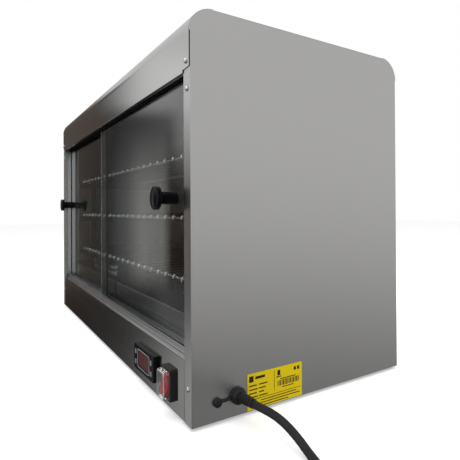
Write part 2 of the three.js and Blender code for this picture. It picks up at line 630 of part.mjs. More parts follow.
// A generic moulded two-pin plug that lies flat beside the coil.
const PLUG = { y: TAIL.start - TAIL.length - GAP, relief: 24, length: 36, width: 34, height: 25.4 };
function plugBody() {
  const reliefShape = [[0, 0], [5.2, 0], [6, 2], [9, PLUG.relief + 2], [0, PLUG.relief + 2]];
  const relief = towardsFront(turned(reliefShape, 20));
  const body = alongY(roundedShape(PLUG.width, PLUG.height, 9), -PLUG.relief - PLUG.length, -PLUG.relief);
  return join(relief, body);
}
add('plug_body', plugBody(), blackPlastic, [TAIL.x, PLUG.y, TAIL.z]);
for (const [name, side] of [['plug_pin_right', 1], ['plug_pin_left', -1]]) {
  const pin = towardsFront(turned([[0, 0], [2.4, 0], [2.4, 17.5], [1.4, 19], [0, 19]], 12));
  add(name, pin, brass, [TAIL.x + side * 9.5, PLUG.y - PLUG.relief - PLUG.length - GAP, TAIL.z]);
}

add('rating_label',
  block(SIDE + GAP, SIDE + 2 * GAP, FRONT + 73, FRONT + 157.5, BASE + 1.3, BASE + 44.5), yellowFilm);

export default model;
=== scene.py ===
"""Counter-top hot food display case: the looks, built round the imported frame. Metres, +Z up, doors at -Y."""

import math

import bmesh
import bpy
from mathutils import Matrix, Vector


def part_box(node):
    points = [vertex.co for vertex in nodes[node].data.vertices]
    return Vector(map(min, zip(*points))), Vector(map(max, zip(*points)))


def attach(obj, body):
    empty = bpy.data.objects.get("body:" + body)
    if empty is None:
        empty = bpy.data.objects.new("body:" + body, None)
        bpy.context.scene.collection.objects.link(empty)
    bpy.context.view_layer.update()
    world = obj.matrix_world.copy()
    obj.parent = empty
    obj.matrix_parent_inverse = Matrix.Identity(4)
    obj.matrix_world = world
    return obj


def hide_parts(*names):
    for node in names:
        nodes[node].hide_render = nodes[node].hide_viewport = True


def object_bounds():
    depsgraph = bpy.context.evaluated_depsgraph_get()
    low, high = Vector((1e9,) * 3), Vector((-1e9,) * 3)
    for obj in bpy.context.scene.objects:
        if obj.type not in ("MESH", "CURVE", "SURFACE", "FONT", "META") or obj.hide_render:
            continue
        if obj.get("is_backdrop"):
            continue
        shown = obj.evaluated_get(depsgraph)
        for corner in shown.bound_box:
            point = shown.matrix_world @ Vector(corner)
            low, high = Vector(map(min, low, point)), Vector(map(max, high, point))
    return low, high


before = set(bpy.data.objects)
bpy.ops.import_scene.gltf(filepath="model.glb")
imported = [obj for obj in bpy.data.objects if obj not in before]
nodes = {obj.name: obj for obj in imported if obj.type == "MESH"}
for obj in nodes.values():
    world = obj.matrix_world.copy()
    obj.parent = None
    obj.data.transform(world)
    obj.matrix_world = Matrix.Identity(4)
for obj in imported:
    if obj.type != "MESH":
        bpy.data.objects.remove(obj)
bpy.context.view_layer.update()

MM = 0.001

# ---- Places, from the frame ----
COVER_PROUD = 1.2 * MM
panel_low, panel_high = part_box("side_panel_right")
SIDE, BASE, TOP = panel_high.x, panel_low.z, panel_high.z
FRONT = panel_low.y + COVER_PROUD
REAR = panel_high.y - COVER_PROUD

# ---- Sheet metal sizes ----
SHEET = 1.2 * MM
COVER = 0.9 * MM
FLANGE = 18 * MM
CORNER = 30 * MM
REAR_LIP = 69 * MM

# ---- Mains lead ----
CORD = 9 * MM
GLAND_Y, GLAND_Z = FRONT + 59 * MM, 28 * MM
COIL_LOW, COIL_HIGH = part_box("cord_coil")

TO_FRONT = Matrix.Rotation(math.radians(90), 4, "X")
TO_RIGHT = Matrix.Rotation(math.radians(90), 4, "Y")
LEAN = Matrix.Rotation(0.105, 4, "Z")  # the gland's taper leans towards the rear


def middle(node):
    """The centre of a CAD node's box."""
    low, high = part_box(node)
    return (low + high) / 2


# ---- Camera ----
def place_camera():
    """A low, close view of the right-hand end, with the doors seen at a shallow angle."""
    yaw, pitch, roll = math.radians(57.45), math.radians(0.49), math.radians(-0.28)
    ahead = Vector((-math.sin(yaw) * math.cos(pitch), math.cos(yaw) * math.cos(pitch), math.sin(pitch)))
    level = Vector((math.cos(yaw), math.sin(yaw), 0))
    upward = level.cross(ahead)
    right = level * math.cos(roll) + upward * math.sin(roll)
    up = upward * math.cos(roll) - level * math.sin(roll)
    data = bpy.data.cameras.new("camera")
    data.sensor_width = 36
    data.lens = 33.1
    data.shift_x = -0.0226
    data.shift_y = -0.0507
    camera = bpy.data.objects.new("camera", data)
    camera.matrix_world = Matrix.Translation((0.797, -0.3687, 0.2443)) @ Matrix(
        [[right[i], up[i], -ahead[i]] for i in range(3)]).to_4x4()
    bpy.context.scene.collection.objects.link(camera)
    bpy.context.scene.camera = camera


# ---- Finishes ----
def finish(name, color, roughness, metallic=0.0, **sockets):
    """A material with one shader; the named sockets are the same all over the surface."""
    material = bpy.data.materials.new(name)
    material.use_nodes = True
    shader = material.node_tree.nodes["Principled BSDF"]
    shader.inputs["Base Color"].default_value = (*color, 1)
    shader.inputs["Roughness"].default_value = roughness
    shader.inputs["Metallic"].default_value = metallic
    for socket, value in sockets.items():
        shader.inputs[socket.replace("_", " ").title().replace("Ior", "IOR")].default_value = value
    return material


def pattern(material, scale, colors, roughness, height, detail=4.0, strength=1.0):
    """Adds stretched noise, which varies the colour, the roughness and the surface's height."""
    tree = material.node_tree
    shader = tree.nodes["Principled BSDF"]
    place = tree.nodes.new("ShaderNodeTexCoord")
    mapping = tree.nodes.new("ShaderNodeMapping")
    mapping.inputs["Scale"].default_value = scale
    noise = tree.nodes.new("ShaderNodeTexNoise")
    noise.inputs["Scale"].default_value = 1.0
    noise.inputs["Detail"].default_value = detail
    blend = tree.nodes.new("ShaderNodeMix")
    blend.data_type = "RGBA"
    blend.inputs[6].default_value = (*colors[0], 1)
    blend.inputs[7].default_value = (*colors[1], 1)
    spread = tree.nodes.new("ShaderNodeMapRange")
    spread.inputs["From Min"].default_value = 0.3
    spread.inputs["From Max"].default_value = 0.7
    spread.inputs["To Min"].default_value = roughness[0]
    spread.inputs["To Max"].default_value = roughness[1]
    bump = tree.nodes.new("ShaderNodeBump")
    bump.inputs["Strength"].default_value = strength
    bump.inputs["Distance"].default_value = height
    link = tree.links.new
    link(place.outputs["Object"], mapping.inputs["Vector"])
    link(mapping.outputs["Vector"], noise.inputs["Vector"])
    link(noise.outputs["Fac"], blend.inputs[0])
    link(noise.outputs["Fac"], spread.inputs["Value"])
    link(noise.outputs["Fac"], bump.inputs["Height"])
    link(blend.outputs[2], shader.inputs["Base Color"])
    link(spread.outputs["Result"], shader.inputs["Roughness"])
    link(bump.outputs["Normal"], shader.inputs["Normal"])
    return material


ACROSS, ALONG = 900.0, 5.0  # noise cycles per metre across and along the brushing


def brushed(name, grain, tone, roughness=0.30):
    """Brushed stainless sheet; grain is the axis that the brushing runs along."""
    scale = [ALONG if axis == grain else ACROSS for axis in "xyz"]
    light = [c * 1.025 for c in tone]
    dark = [c * 0.97 for c in tone]
    material = finish(name, tone, roughness, metallic=1.0)
    return pattern(material, scale, (dark, light), (roughness - 0.03, roughness + 0.03), 0.0025 * MM)


STEEL = (0.62, 0.615, 0.605)
steel_upright = brushed("brushed_steel_upright", "z", STEEL, 0.34)
steel_flange = brushed("brushed_steel_flange", "z", STEEL, 0.22)
steel_cover = brushed("brushed_steel_cover", "x", (0.64, 0.635, 0.63), 0.12)
# The fascia steel is toned darker than the other sheets: a painted reflection of a dark counter.
steel_fascia = brushed("brushed_steel_fascia_painted_reflection", "x", (0.50, 0.49, 0.48), 0.16)
# Painted shade: the cover's cut ends are dark, for the shaded seam where the cover sits on the side panels.
steel_edge = brushed("steel_edge_painted_shade", "y", (0.20, 0.195, 0.19), 0.45)
# The inside sheets and the deck are toned far darker than the outside steel: painted shade inside the case.
steel_inside = brushed("brushed_steel_inside_painted_shade", "x", (0.25, 0.245, 0.24), 0.30)
steel_deck = brushed("brushed_steel_deck_painted_shade", "x", (0.26, 0.255, 0.25), 0.16)
steel_pan = pattern(
    finish("pressed_steel", (0.66, 0.66, 0.65), 0.16, metallic=1.0), (40, 40, 40),
    ((0.60, 0.60, 0.59), (0.70, 0.70, 0.69)), (0.12, 0.22), 0.02 * MM)
chrome = pattern(
    finish("chromed_wire", (0.78, 0.79, 0.80), 0.10, metallic=1.0), (120, 120, 120),
    ((0.70, 0.71, 0.72), (0.84, 0.85, 0.86)), (0.06, 0.16), 0.01 * MM)
# The racks' chrome is toned darker than the bright chrome: painted shade inside the case.
rack_chrome = pattern(
    finish("chrome_wire_painted_shade", (0.50, 0.51, 0.52), 0.13, metallic=1.0), (120, 120, 120),
    ((0.42, 0.43, 0.44), (0.58, 0.59, 0.60)), (0.09, 0.20), 0.01 * MM)
aluminium = brushed("satin_aluminium", "x", (0.66, 0.67, 0.68), 0.28)
aluminium_upright = brushed("satin_aluminium_upright", "z", (0.66, 0.67, 0.68), 0.26)
sheath = pattern(
    finish("oxidised_sheath", (0.24, 0.22, 0.20), 0.42, metallic=1.0), (60, 60, 60),
    ((0.16, 0.14, 0.13), (0.33, 0.30, 0.27)), (0.34, 0.55), 0.03 * MM)
gloss_black = pattern(
    finish("gloss_black", (0.002, 0.002, 0.003), 0.07, specular_ior_level=0.1), (90, 90, 90),
    ((0.003, 0.003, 0.004), (0.006, 0.006, 0.007)), (0.05, 0.11), 0.008 * MM)
moulded_black = pattern(
    finish("moulded_black", (0.010, 0.010, 0.011), 0.34, specular_ior_level=0.32), (1400, 1400, 1400),
    ((0.007, 0.007, 0.008), (0.013, 0.013, 0.014)), (0.28, 0.42), 0.012 * MM, detail=2.0)
# The top track is near-black to paint the shade under the front fascia.
track_painted_shade = pattern(
    finish("track_painted_shade", (0.003, 0.003, 0.003), 0.6, specular_ior_level=0.15), (10, 500, 500),
    ((0.002, 0.002, 0.002), (0.005, 0.005, 0.005)), (0.5, 0.7), 0.01 * MM)
rubber = pattern(
    finish("cord_rubber", (0.010, 0.010, 0.011), 0.36, specular_ior_level=0.4), (300, 300, 300),
    ((0.007, 0.007, 0.008), (0.015, 0.015, 0.017)), (0.30, 0.44), 0.02 * MM)
grey_plastic = pattern(
    finish("grey_plastic", (0.16, 0.17, 0.185), 0.30), (900, 900, 900),
    ((0.14, 0.15, 0.165), (0.18, 0.19, 0.205)), (0.26, 0.36), 0.01 * MM)
pale_line = pattern(
    finish("pale_print", (0.30, 0.32, 0.34), 0.35), (900, 900, 900),
    ((0.26, 0.28, 0.30), (0.34, 0.36, 0.38)), (0.30, 0.42), 0.005 * MM)
smoked_window = pattern(
    finish("smoked_red_window", (0.060, 0.013, 0.009), 0.12, specular_ior_level=0.4), (700, 700, 700),
    ((0.030, 0.008, 0.006), (0.095, 0.022, 0.015)), (0.10, 0.20), 0.004 * MM)
red_plastic = pattern(
    finish("rocker_red", (0.72, 0.006, 0.012), 0.22, coat_weight=0.4, coat_roughness=0.1), (300, 300, 300),
    ((0.56, 0.010, 0.016), (0.68, 0.015, 0.024)), (0.18, 0.28), 0.005 * MM)
white_print = pattern(
    finish("white_print", (0.80, 0.80, 0.78), 0.40), (800, 800, 800),
    ((0.74, 0.74, 0.72), (0.84, 0.84, 0.82)), (0.35, 0.48), 0.004 * MM)
silicone = pattern(
    finish("clear_silicone", (0.97, 0.965, 0.96), 0.05, transmission_weight=1.0, ior=1.41), (240, 240, 240),
    ((0.95, 0.945, 0.94), (0.99, 0.985, 0.98)), (0.02, 0.09), 0.16 * MM, detail=2.0)
yellow_film = pattern(
    finish("label_yellow", (0.60, 0.45, 0.001), 0.42, specular_ior_level=0.08), (220, 220, 220),
    ((0.57, 0.42, 0.001), (0.63, 0.48, 0.002)), (0.36, 0.48), 0.01 * MM)
label_ink = pattern(
    finish("label_ink", (0.02, 0.018, 0.012), 0.5, specular_ior_level=0.15), (900, 900, 900),
    ((0.012, 0.011, 0.008), (0.035, 0.030, 0.018)), (0.42, 0.60), 0.004 * MM)
plug_brass = pattern(
    finish("plug_brass", (0.74, 0.60, 0.33), 0.22, metallic=1.0), (200, 200, 900),
    ((0.68, 0.54, 0.28), (0.80, 0.66, 0.38)), (0.16, 0.30), 0.01 * MM)
pane_glass = pattern(
    finish("door_glass", (0.93, 0.97, 0.95), 0.0, transmission_weight=1.0, ior=1.5), (3, 3, 3),
    ((0.925, 0.965, 0.945), (0.94, 0.98, 0.96)), (0.0, 0.004), 0.002 * MM, detail=1.0, strength=0.2)
pane_edge = pattern(
    finish("glass_edge", (0.001, 0.016, 0.013), 0.2, specular_ior_level=0.08), (40, 40, 400),
    ((0.0005, 0.012, 0.010), (0.002, 0.022, 0.018)), (0.16, 0.28), 0.01 * MM)
# Pale ground glass on the outer pane only, kept bright as a painted highlight along that edge.
ground_arris = pattern(
    finish("glass_ground_arris_and_highlight", (0.72, 0.78, 0.75), 0.45), (900, 900, 900),
    ((0.66, 0.72, 0.69), (0.80, 0.85, 0.82)), (0.38, 0.55), 0.01 * MM)


# ---- Shapes ----
def block(low, high, corner=0.0, along=1, steps=6):
    """A box between two corners; its four edges along one axis can be rounded."""
    bm = bmesh.new()
    bmesh.ops.create_cube(bm, size=1)
    bmesh.ops.scale(bm, vec=Vector(high) - Vector(low), verts=bm.verts)
    bmesh.ops.translate(bm, vec=(Vector(high) + Vector(low)) / 2, verts=bm.verts)
    if corner:
        edges = [e for e in bm.edges if abs((e.verts[0].co - e.verts[1].co).normalized()[along]) > 0.99]
        bmesh.ops.bevel(
            bm, geom=edges, offset=corner, segments=steps, profile=0.5, affect="EDGES", material=-1)
    return bm


def plate(middle_point, size, corner=0.0, along=1, steps=6):
    """A block given by its centre and size."""
    half = Vector(size) / 2
    return block(Vector(middle_point) - half, Vector(middle_point) + half, corner, along, steps)


def lathe(profile, steps=48):
    """A shape turned about Z, from (radius, height) points in millimetres."""
    bm = bmesh.new()
    points = [bm.verts.new((radius * MM, 0, height * MM)) for radius, height in profile]
    lines = [bm.edges.new(pair) for pair in zip(points, points[1:])]
    bmesh.ops.spin(
        bm, geom=points + lines, axis=(0, 0, 1), cent=(0, 0, 0), steps=steps, angle=math.tau, use_merge=True)
    bmesh.ops.remove_doubles(bm, verts=bm.verts, dist=1e-7)
    bmesh.ops.recalc_face_normals(bm, faces=bm.faces)
    return bm


def placed(bm, place=(0, 0, 0), turn=None):
    """Turns a shape about the origin, then moves it."""
    if turn is not None:
        bmesh.ops.transform(bm, matrix=turn, verts=bm.verts)
    bmesh.ops.translate(bm, vec=place, verts=bm.verts)
    return bm


def ring_edges(ring):
    """The edges whose two ends are both in the ring."""
    kept = set(ring)
    return [e for v in ring for e in v.link_edges if e.other_vert(v) in kept and e.verts[0] is v]


def pipe(points, radius, sides=12):
    """A closed round bar whose centre follows the points."""
    bm = bmesh.new()
    points = [Vector(p) for p in points]
    ring = bmesh.ops.create_circle(bm, radius=radius, segments=sides)["verts"]
    facing, centre = Vector((0, 0, 1)), Vector()
    for i, point in enumerate(points):
        if i:
            grown = bmesh.ops.extrude_edge_only(bm, edges=ring_edges(ring))["geom"]
            ring = [part for part in grown if isinstance(part, bmesh.types.BMVert)]
        before = (point - points[i - 1]).normalized() if i else Vector()
        after = (points[i + 1] - point).normalized() if i < len(points) - 1 else Vector()
        direction = (before + after).normalized()
        turn = facing.rotation_difference(direction).to_matrix()
        bmesh.ops.rotate(bm, cent=centre, matrix=turn, verts=ring)
        bmesh.ops.translate(bm, vec=point - centre, verts=ring)
        facing, centre = direction, point
    bmesh.ops.holes_fill(bm, edges=[e for e in bm.edges if e.is_boundary], sides=0)
    bmesh.ops.recalc_face_normals(bm, faces=bm.faces)
    return bm


def joined(shapes):
    """Several shapes as one, with their surfaces kept as they are."""
    whole = shapes[0]
    for other in shapes[1:]:
        mesh = bpy.data.meshes.new("joining")
        other.to_mesh(mesh)
        other.free()
        whole.from_mesh(mesh)
        bpy.data.meshes.remove(mesh)
    return whole


def holder_of(bm):
    """A passing object for a shape, for a boolean."""
    mesh = bpy.data.meshes.new("passing")
    bm.to_mesh(mesh)
    bm.free()
    holder = bpy.data.objects.new("passing", mesh)
    bpy.context.scene.collection.objects.link(holder)
    return holder


def solid(base, tools, operation):
    """One closed shape: the tools are joined to the base (UNION) or cut out of it (DIFFERENCE)."""
    holders = [holder_of(bm) for bm in [base, *tools]]
    for tool in holders[1:]:
        change = holders[0].modifiers.new("solid", "BOOLEAN")
        change.operation = operation
        change.solver = "EXACT"
        change.object = tool
    bpy.context.view_layer.update()
    seen = holders[0].evaluated_get(bpy.context.evaluated_depsgraph_get())
    bm = bmesh.new()
    bm.from_mesh(seen.to_mesh())
    for holder in holders:
        bpy.data.objects.remove(holder)
    bmesh.ops.remove_doubles(bm, verts=bm.verts, dist=1e-6)
    bmesh.ops.dissolve_limit(bm, angle_limit=math.radians(0.5), verts=bm.verts, edges=bm.edges)
    return bm


def copied(node):
    """A CAD node's own shape, its loose triangles merged into whole faces."""
    bm = bmesh.new()
    bm.from_mesh(nodes[node].data)
    bmesh.ops.remove_doubles(bm, verts=bm.verts, dist=1e-6)
    bmesh.ops.dissolve_limit(bm, angle_limit=math.radians(0.5), verts=bm.verts, edges=bm.edges)
    return bm


def fold_line(corners, radii, steps):
    """The middle line of a folded sheet in (y, z): straight runs, with each corner rounded by its radius."""
    corners = [Vector(c) for c in corners]
    line = [corners[0]]
    for i, radius in enumerate(radii, 1):
        before = (corners[i - 1] - corners[i]).normalized()
        after = (corners[i + 1] - corners[i]).normalized()
        half = before.angle(after) / 2
        centre = corners[i] + (before + after).normalized() * radius / math.sin(half)
        start = corners[i] + before * radius / math.tan(half) - centre
        sign = -1 if before.x * after.y - before.y * after.x > 0 else 1
        for k in range(steps + 1):
            line.append(centre + Matrix.Rotation(sign * (math.pi - 2 * half) * k / steps, 2) @ start)
    line.append(corners[-1])
    return line


def folded(line, thickness, start, end):
    """A sheet that follows the line in (y, z), from start to end along X."""
    bm = bmesh.new()
    points = [bm.verts.new((start, y, z)) for y, z in line]
    lines = [bm.edges.new(pair) for pair in zip(points, points[1:])]
    grown = bmesh.ops.extrude_edge_only(bm, edges=lines)["geom"]
    moving = [part for part in grown if isinstance(part, bmesh.types.BMVert)]
    bmesh.ops.translate(bm, vec=(end - start, 0, 0), verts=moving)
    bmesh.ops.recalc_face_normals(bm, faces=bm.faces)
    bmesh.ops.solidify(bm, geom=bm.faces, thickness=thickness)
    bmesh.ops.recalc_face_normals(bm, faces=bm.faces)
    return bm


def prism(outline, push):
    """A flat outline pushed into a solid."""
    bm = bmesh.new()
    face = bm.faces.new([bm.verts.new(p) for p in outline])
    grown = bmesh.ops.extrude_face_region(bm, geom=[face])["geom"]
    moving = [part for part in grown if isinstance(part, bmesh.types.BMVert)]
    bmesh.ops.translate(bm, vec=push, verts=moving)
    bmesh.ops.recalc_face_normals(bm, faces=bm.faces)
    return bm


def arc(centre, radius, start, end, steps):
    """Points on an arc in a plane, by angles in degrees."""
    turns = [math.radians(start + (end - start) * k / steps) for k in range(steps + 1)]
    return [(centre[0] + radius * math.cos(t), centre[1] + radius * math.sin(t)) for t in turns]


# ---- Pieces ----
def piece(name, bm, materials, body="case", replaces=(), soften=0.3 * MM, steps=2, sharp=32, arris=-1):
    """A finished piece: its edges are eased, it shades smoothly, and it rides on a body."""
    materials = materials if isinstance(materials, (list, tuple)) else [materials]
    mesh = bpy.data.meshes.new(name)
    bm.to_mesh(mesh)
    bm.free()
    for material in materials:
        mesh.materials.append(material)
    made = bpy.data.objects.new(name, mesh)
    bpy.context.scene.collection.objects.link(made)
    mesh.shade_smooth()
    mesh.set_sharp_from_angle(angle=math.radians(sharp))
    if soften:
        ease = made.modifiers.new("eased_edges", "BEVEL")
        ease.width = soften
        ease.segments = steps
        ease.limit_method = "ANGLE"
        ease.angle_limit = math.radians(sharp)
        ease.material = arris
        ease.use_clamp_overlap = True
    even = made.modifiers.new("even_normals", "WEIGHTED_NORMAL")
    even.keep_sharp = True
    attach(made, body)
    if replaces:
        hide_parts(*replaces)
    return made


def softened_copy(node, material, body="case", soften=0.3 * MM, sharp=32):
    """A CAD node's shape with eased edges, standing for that node."""
    return piece(f"{node}_finished", copied(node), material, body, [node], soften, 2, sharp)


# ---- Mains lead, gland and plug ----
# The part that isn't coiled, as (x, aside from the gland, z) in millimetres.
CORD_ROUTE = [
    (405.5, 3.2, 28), (414, 4.4, 27.9), (423.5, 6.4, 27.4), (433, 8.8, 26.2), (442.5, 11.1, 23.9),
    (452, 13.1, 20.4), (461.5, 14.5, 16.2), (471, 15, 12.1), (480.5, 14.4, 8.7), (490, 13.1, 6.5),
    (500, 11.1, 5.2), (510, 8.7, 4.75), (520, 6.3, 4.7), (530, 3.9, 4.7), (540, 1.9, 4.7), (552, 0.4, 4.7)]
TURN_POINTS = 24


def eased(value, start, end):
    """Goes smoothly from 0 to 1 while value goes from start to end."""
    share = min(max((value - start) / (end - start), 0), 1)
    return share * share * (3 - 2 * share)


def coil_points():
    """Three turns on the counter, wound inwards, then two and a quarter on top of them, wound outwards."""
    centre = (COIL_LOW + COIL_HIGH) / 2
    outer = (COIL_HIGH.x - COIL_LOW.x) / 2 - CORD / 2
    low, nested, crossing = 4.7 * MM, 12.5 * MM, 13.6 * MM
    rings = [outer - steps_in * CORD for steps_in in (0, 1, 2, 1.5, 0.5, 0.5)]
    points = []
    for k in range(int(5.25 * TURN_POINTS) + 1):
        turn, part = divmod(k / TURN_POINTS, 1)
        turn = int(turn)
        shift = eased(part, 0.78, 0.94)
        radius = rings[turn] + (rings[min(turn + 1, 5)] - rings[turn]) * shift
        height = low
        if turn == 2:
            rise = eased(part, 0.52, 0.76)
            radius = rings[2] + (rings[3] - rings[2]) * eased(part, 0.60, 0.80)
            height = low + (crossing - low) * rise
        if turn > 2:
            over = eased(part, 0.70, 0.78) - eased(part, 0.94, 1.0) if turn < 5 else 0
            settle = eased(part, 0.0, 0.08) if turn == 3 else 1
            height = nested + (crossing - nested) * max(over, 1 - settle)
        angle = math.pi / 2 - math.tau * (turn + part)
        points.append(Vector((
            centre.x + radius * math.cos(angle), centre.y + radius * math.sin(angle), height)))
    return points


def mains_lead():
    """One smooth line: out of the gland, down to the counter, into the coil, and off it to the plug."""
    points = [Vector((x * MM, GLAND_Y + aside * MM, z * MM)) for x, aside, z in CORD_ROUTE]
    points += coil_points()
    tail_low, tail_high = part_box("cord_tail")
    tail_x = (tail_low.x + tail_high.x) / 2
    for share in (0.35, 0.7, 1.0):
        points.append(Vector((tail_x, points[-1].y + (tail_low.y - points[-1].y) * share, 13.2 * MM)))
    curve = bpy.data.curves.new("mains_lead", "CURVE")
    curve.dimensions = "3D"
    curve.bevel_depth = CORD / 2
    curve.bevel_resolution = 5
    curve.resolution_u = 6
    curve.use_fill_caps = True
    spline = curve.splines.new("BEZIER")
    spline.bezier_points.add(len(points) - 1)
    for knot, point in zip(spline.bezier_points, points):
        knot.co = point
        knot.handle_left_type = knot.handle_right_type = "AUTO"
    curve.materials.append(rubber)
    lead = bpy.data.objects.new("mains_lead", curve)
    bpy.context.scene.collection.objects.link(lead)
    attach(lead, "case")
    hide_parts("mains_cord", "cord_coil", "cord_tail")
    return lead, points[0]


def gland():
    """Strain relief: a domed collar on the panel, and a slim ribbed taper that leans as the lead does."""
    place = (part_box("cord_gland")[0].x, GLAND_Y, GLAND_Z)
    collar = [(0, 0), (10.0, 0), (10.0, 3.6), (9.7, 5.0), (8.9, 6.3), (7.8, 7.4), (6.6, 8.2), (0, 8.2)]
    relief = [(0, 3), (6.3, 3)]
    for start in (10, 13.2, 16.4, 19.6, 22.8):
        radius = 6.45 - 0.035 * start
        groove = radius - 0.5
        relief += [(radius, start), (radius, start + 1.9), (groove, start + 2.2), (groove, start + 2.9)]
    relief += [(5.45, 26.4), (5.3, 29.4), (5.0, 30), (0, 30)]
    flange = placed(lathe(collar, 56), (0, 0, 0), TO_RIGHT)
    taper = placed(lathe(relief, 56), (0, 0, 0), LEAN @ TO_RIGHT)
    bm = placed(solid(flange, [taper], "UNION"), place)
    return piece(
        "cord_gland_ribbed", bm, moulded_black, replaces=["cord_gland"], soften=0.2 * MM)


def tether():
    """A small arm from the gland to a press button on the panel."""
    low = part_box("gland_tether")[0]
    button = Vector((low.x, low.y + 5.5 * MM, low.z + 5.5 * MM))
    cap = [(0, 0), (5.5, 0), (5.5, 2.3), (5.1, 3.1), (4.2, 3.8), (2.5, 4.15), (0, 4.2)]
    knob = placed(lathe(cap, 40), button, TO_RIGHT)
    out = 1.6 * MM
    arm_start = button + Vector((out, 3 * MM, 0.2 * MM))
    arm_end = Vector((low.x + out, GLAND_Y - 8.5 * MM, 27 * MM))
    sag = (arm_start + arm_end) / 2 - Vector((0, 0, 0.6 * MM))
    arm = pipe([arm_start, sag, arm_end], 1.35 * MM, 16)
    bm = solid(knob, [arm], "UNION")
    return piece(
        "gland_tether_moulded", bm, moulded_black, replaces=["gland_tether"], soften=0.2 * MM)


def plug():
    """A generic moulded two-pin plug with grip ridges."""
    low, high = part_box("plug_body")
    centre = middle("plug_body")
    relief = 24 * MM
    ribs = [(0, 0), (5.2, 0)]
    for k in range(4):
        start = 1.5 + k * 5.4
        radius = 6.2 + 0.55 * k
        root = radius - 0.7
        ribs += [(root, start), (radius, start + 0.8), (radius, start + 3.6), (root, start + 4.3)]
    ribs += [(8.6, 23.6), (8.6, 26), (0, 26)]
    neck = placed(lathe(ribs, 48), (centre.x, high.y, centre.z), TO_FRONT)
    body = block((low.x, low.y, low.z), (high.x, high.y - relief, high.z), 9 * MM, 1, 10)
    ridges = []
    for k in range(5):
        y = low.y + (9 + 4.2 * k) * MM
        for side in (low.x, high.x):
            ridges.append(plate((side, y, centre.z), (1.6 * MM, 1.8 * MM, 11 * MM)))
    body = solid(body, ridges, "DIFFERENCE")
    bm = solid(body, [neck], "UNION")
    made = piece(
        "plug_moulded", bm, moulded_black, replaces=["plug_body"], soften=0.6 * MM, steps=3)
    pins = []
    for side in ("right", "left"):
        node = f"plug_pin_{side}"
        pin_low, pin_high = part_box(node)
        pin_centre = middle(node)
        reach = (pin_high.y - pin_low.y) / MM
        shape = [(0, 0), (2.4, 0), (2.4, reach - 2), (2.1, reach - 0.9), (1.3, reach - 0.2), (0, reach)]
        bm = placed(lathe(shape, 32), (pin_centre.x, pin_high.y, pin_centre.z), TO_FRONT)
        pins.append(piece(f"{node}_turned", bm, plug_brass, replaces=[node], soften=0))
    return [made, *pins]


place_camera()
lead, lead_start = mains_lead()
lead_pieces = [gland(), tether(), *plug()]


# ---- Side panels ----
def panel_outline(x):
    """The skin steps out at its round corners by as much as the cover stands proud."""
    reach = CORNER - COVER_PROUD
    start = TOP - CORNER
    line = [(FRONT, BASE), (REAR, BASE), (REAR, start), (REAR + COVER_PROUD, start)]
    line += arc((REAR - reach, start), CORNER, 0, 90, 20)[1:]
    line += [(REAR - reach, TOP - COVER_PROUD), (FRONT + reach, TOP - COVER_PROUD), (FRONT + reach, TOP)]
    line += arc((FRONT + reach, start), CORNER, 90, 180, 20)[1:]
    line += [(FRONT, start)]
    return [(x, y, z) for y, z in line]


def side_panel(side, name):
    """The skin with its flanges folded inwards along the front, rear, top and bottom."""
    skin = prism(panel_outline(side * SIDE), (-side * SHEET, 0, 0))
    fold = 1.0 * MM
    edges = [
        e for e in skin.edges
        if all(abs(v.co.x - side * SIDE) < 1e-6 for v in e.verts)
        and abs(e.verts[0].co.y - e.verts[1].co.y) < 1e-6
        and abs(e.verts[0].co.z - e.verts[1].co.z) > 0.2]
    bmesh.ops.bevel(skin, geom=edges, offset=fold, segments=4, profile=0.5, affect="EDGES", material=-1)
    outer, inner = side * (SIDE - fold), side * (SIDE - FLANGE)
    across = (min(outer, inner), max(outer, inner))
    high = TOP - CORNER - 1 * MM
    top = TOP - COVER_PROUD
    flanges = [
        block((across[0], FRONT, BASE), (across[1], FRONT + SHEET, high)),
        block((across[0], REAR - SHEET, BASE), (across[1], REAR, high)),
        block((across[0], FRONT + CORNER, top - SHEET), (across[1], REAR - CORNER, top)),
        block((across[0], FRONT + 0.1 * MM, BASE), (across[1], REAR - 0.1 * MM, BASE + SHEET))]
    bm = solid(skin, flanges, "UNION")
    for face in bm.faces:
        face.material_index = 1 if abs(face.normal.y) > 0.9 else 0
    return piece(
        f"{name}_finished", bm, [steel_upright, steel_flange], replaces=[name],
        soften=0.25 * MM)


side_panel(1, "side_panel_right")
side_panel(-1, "side_panel_left")


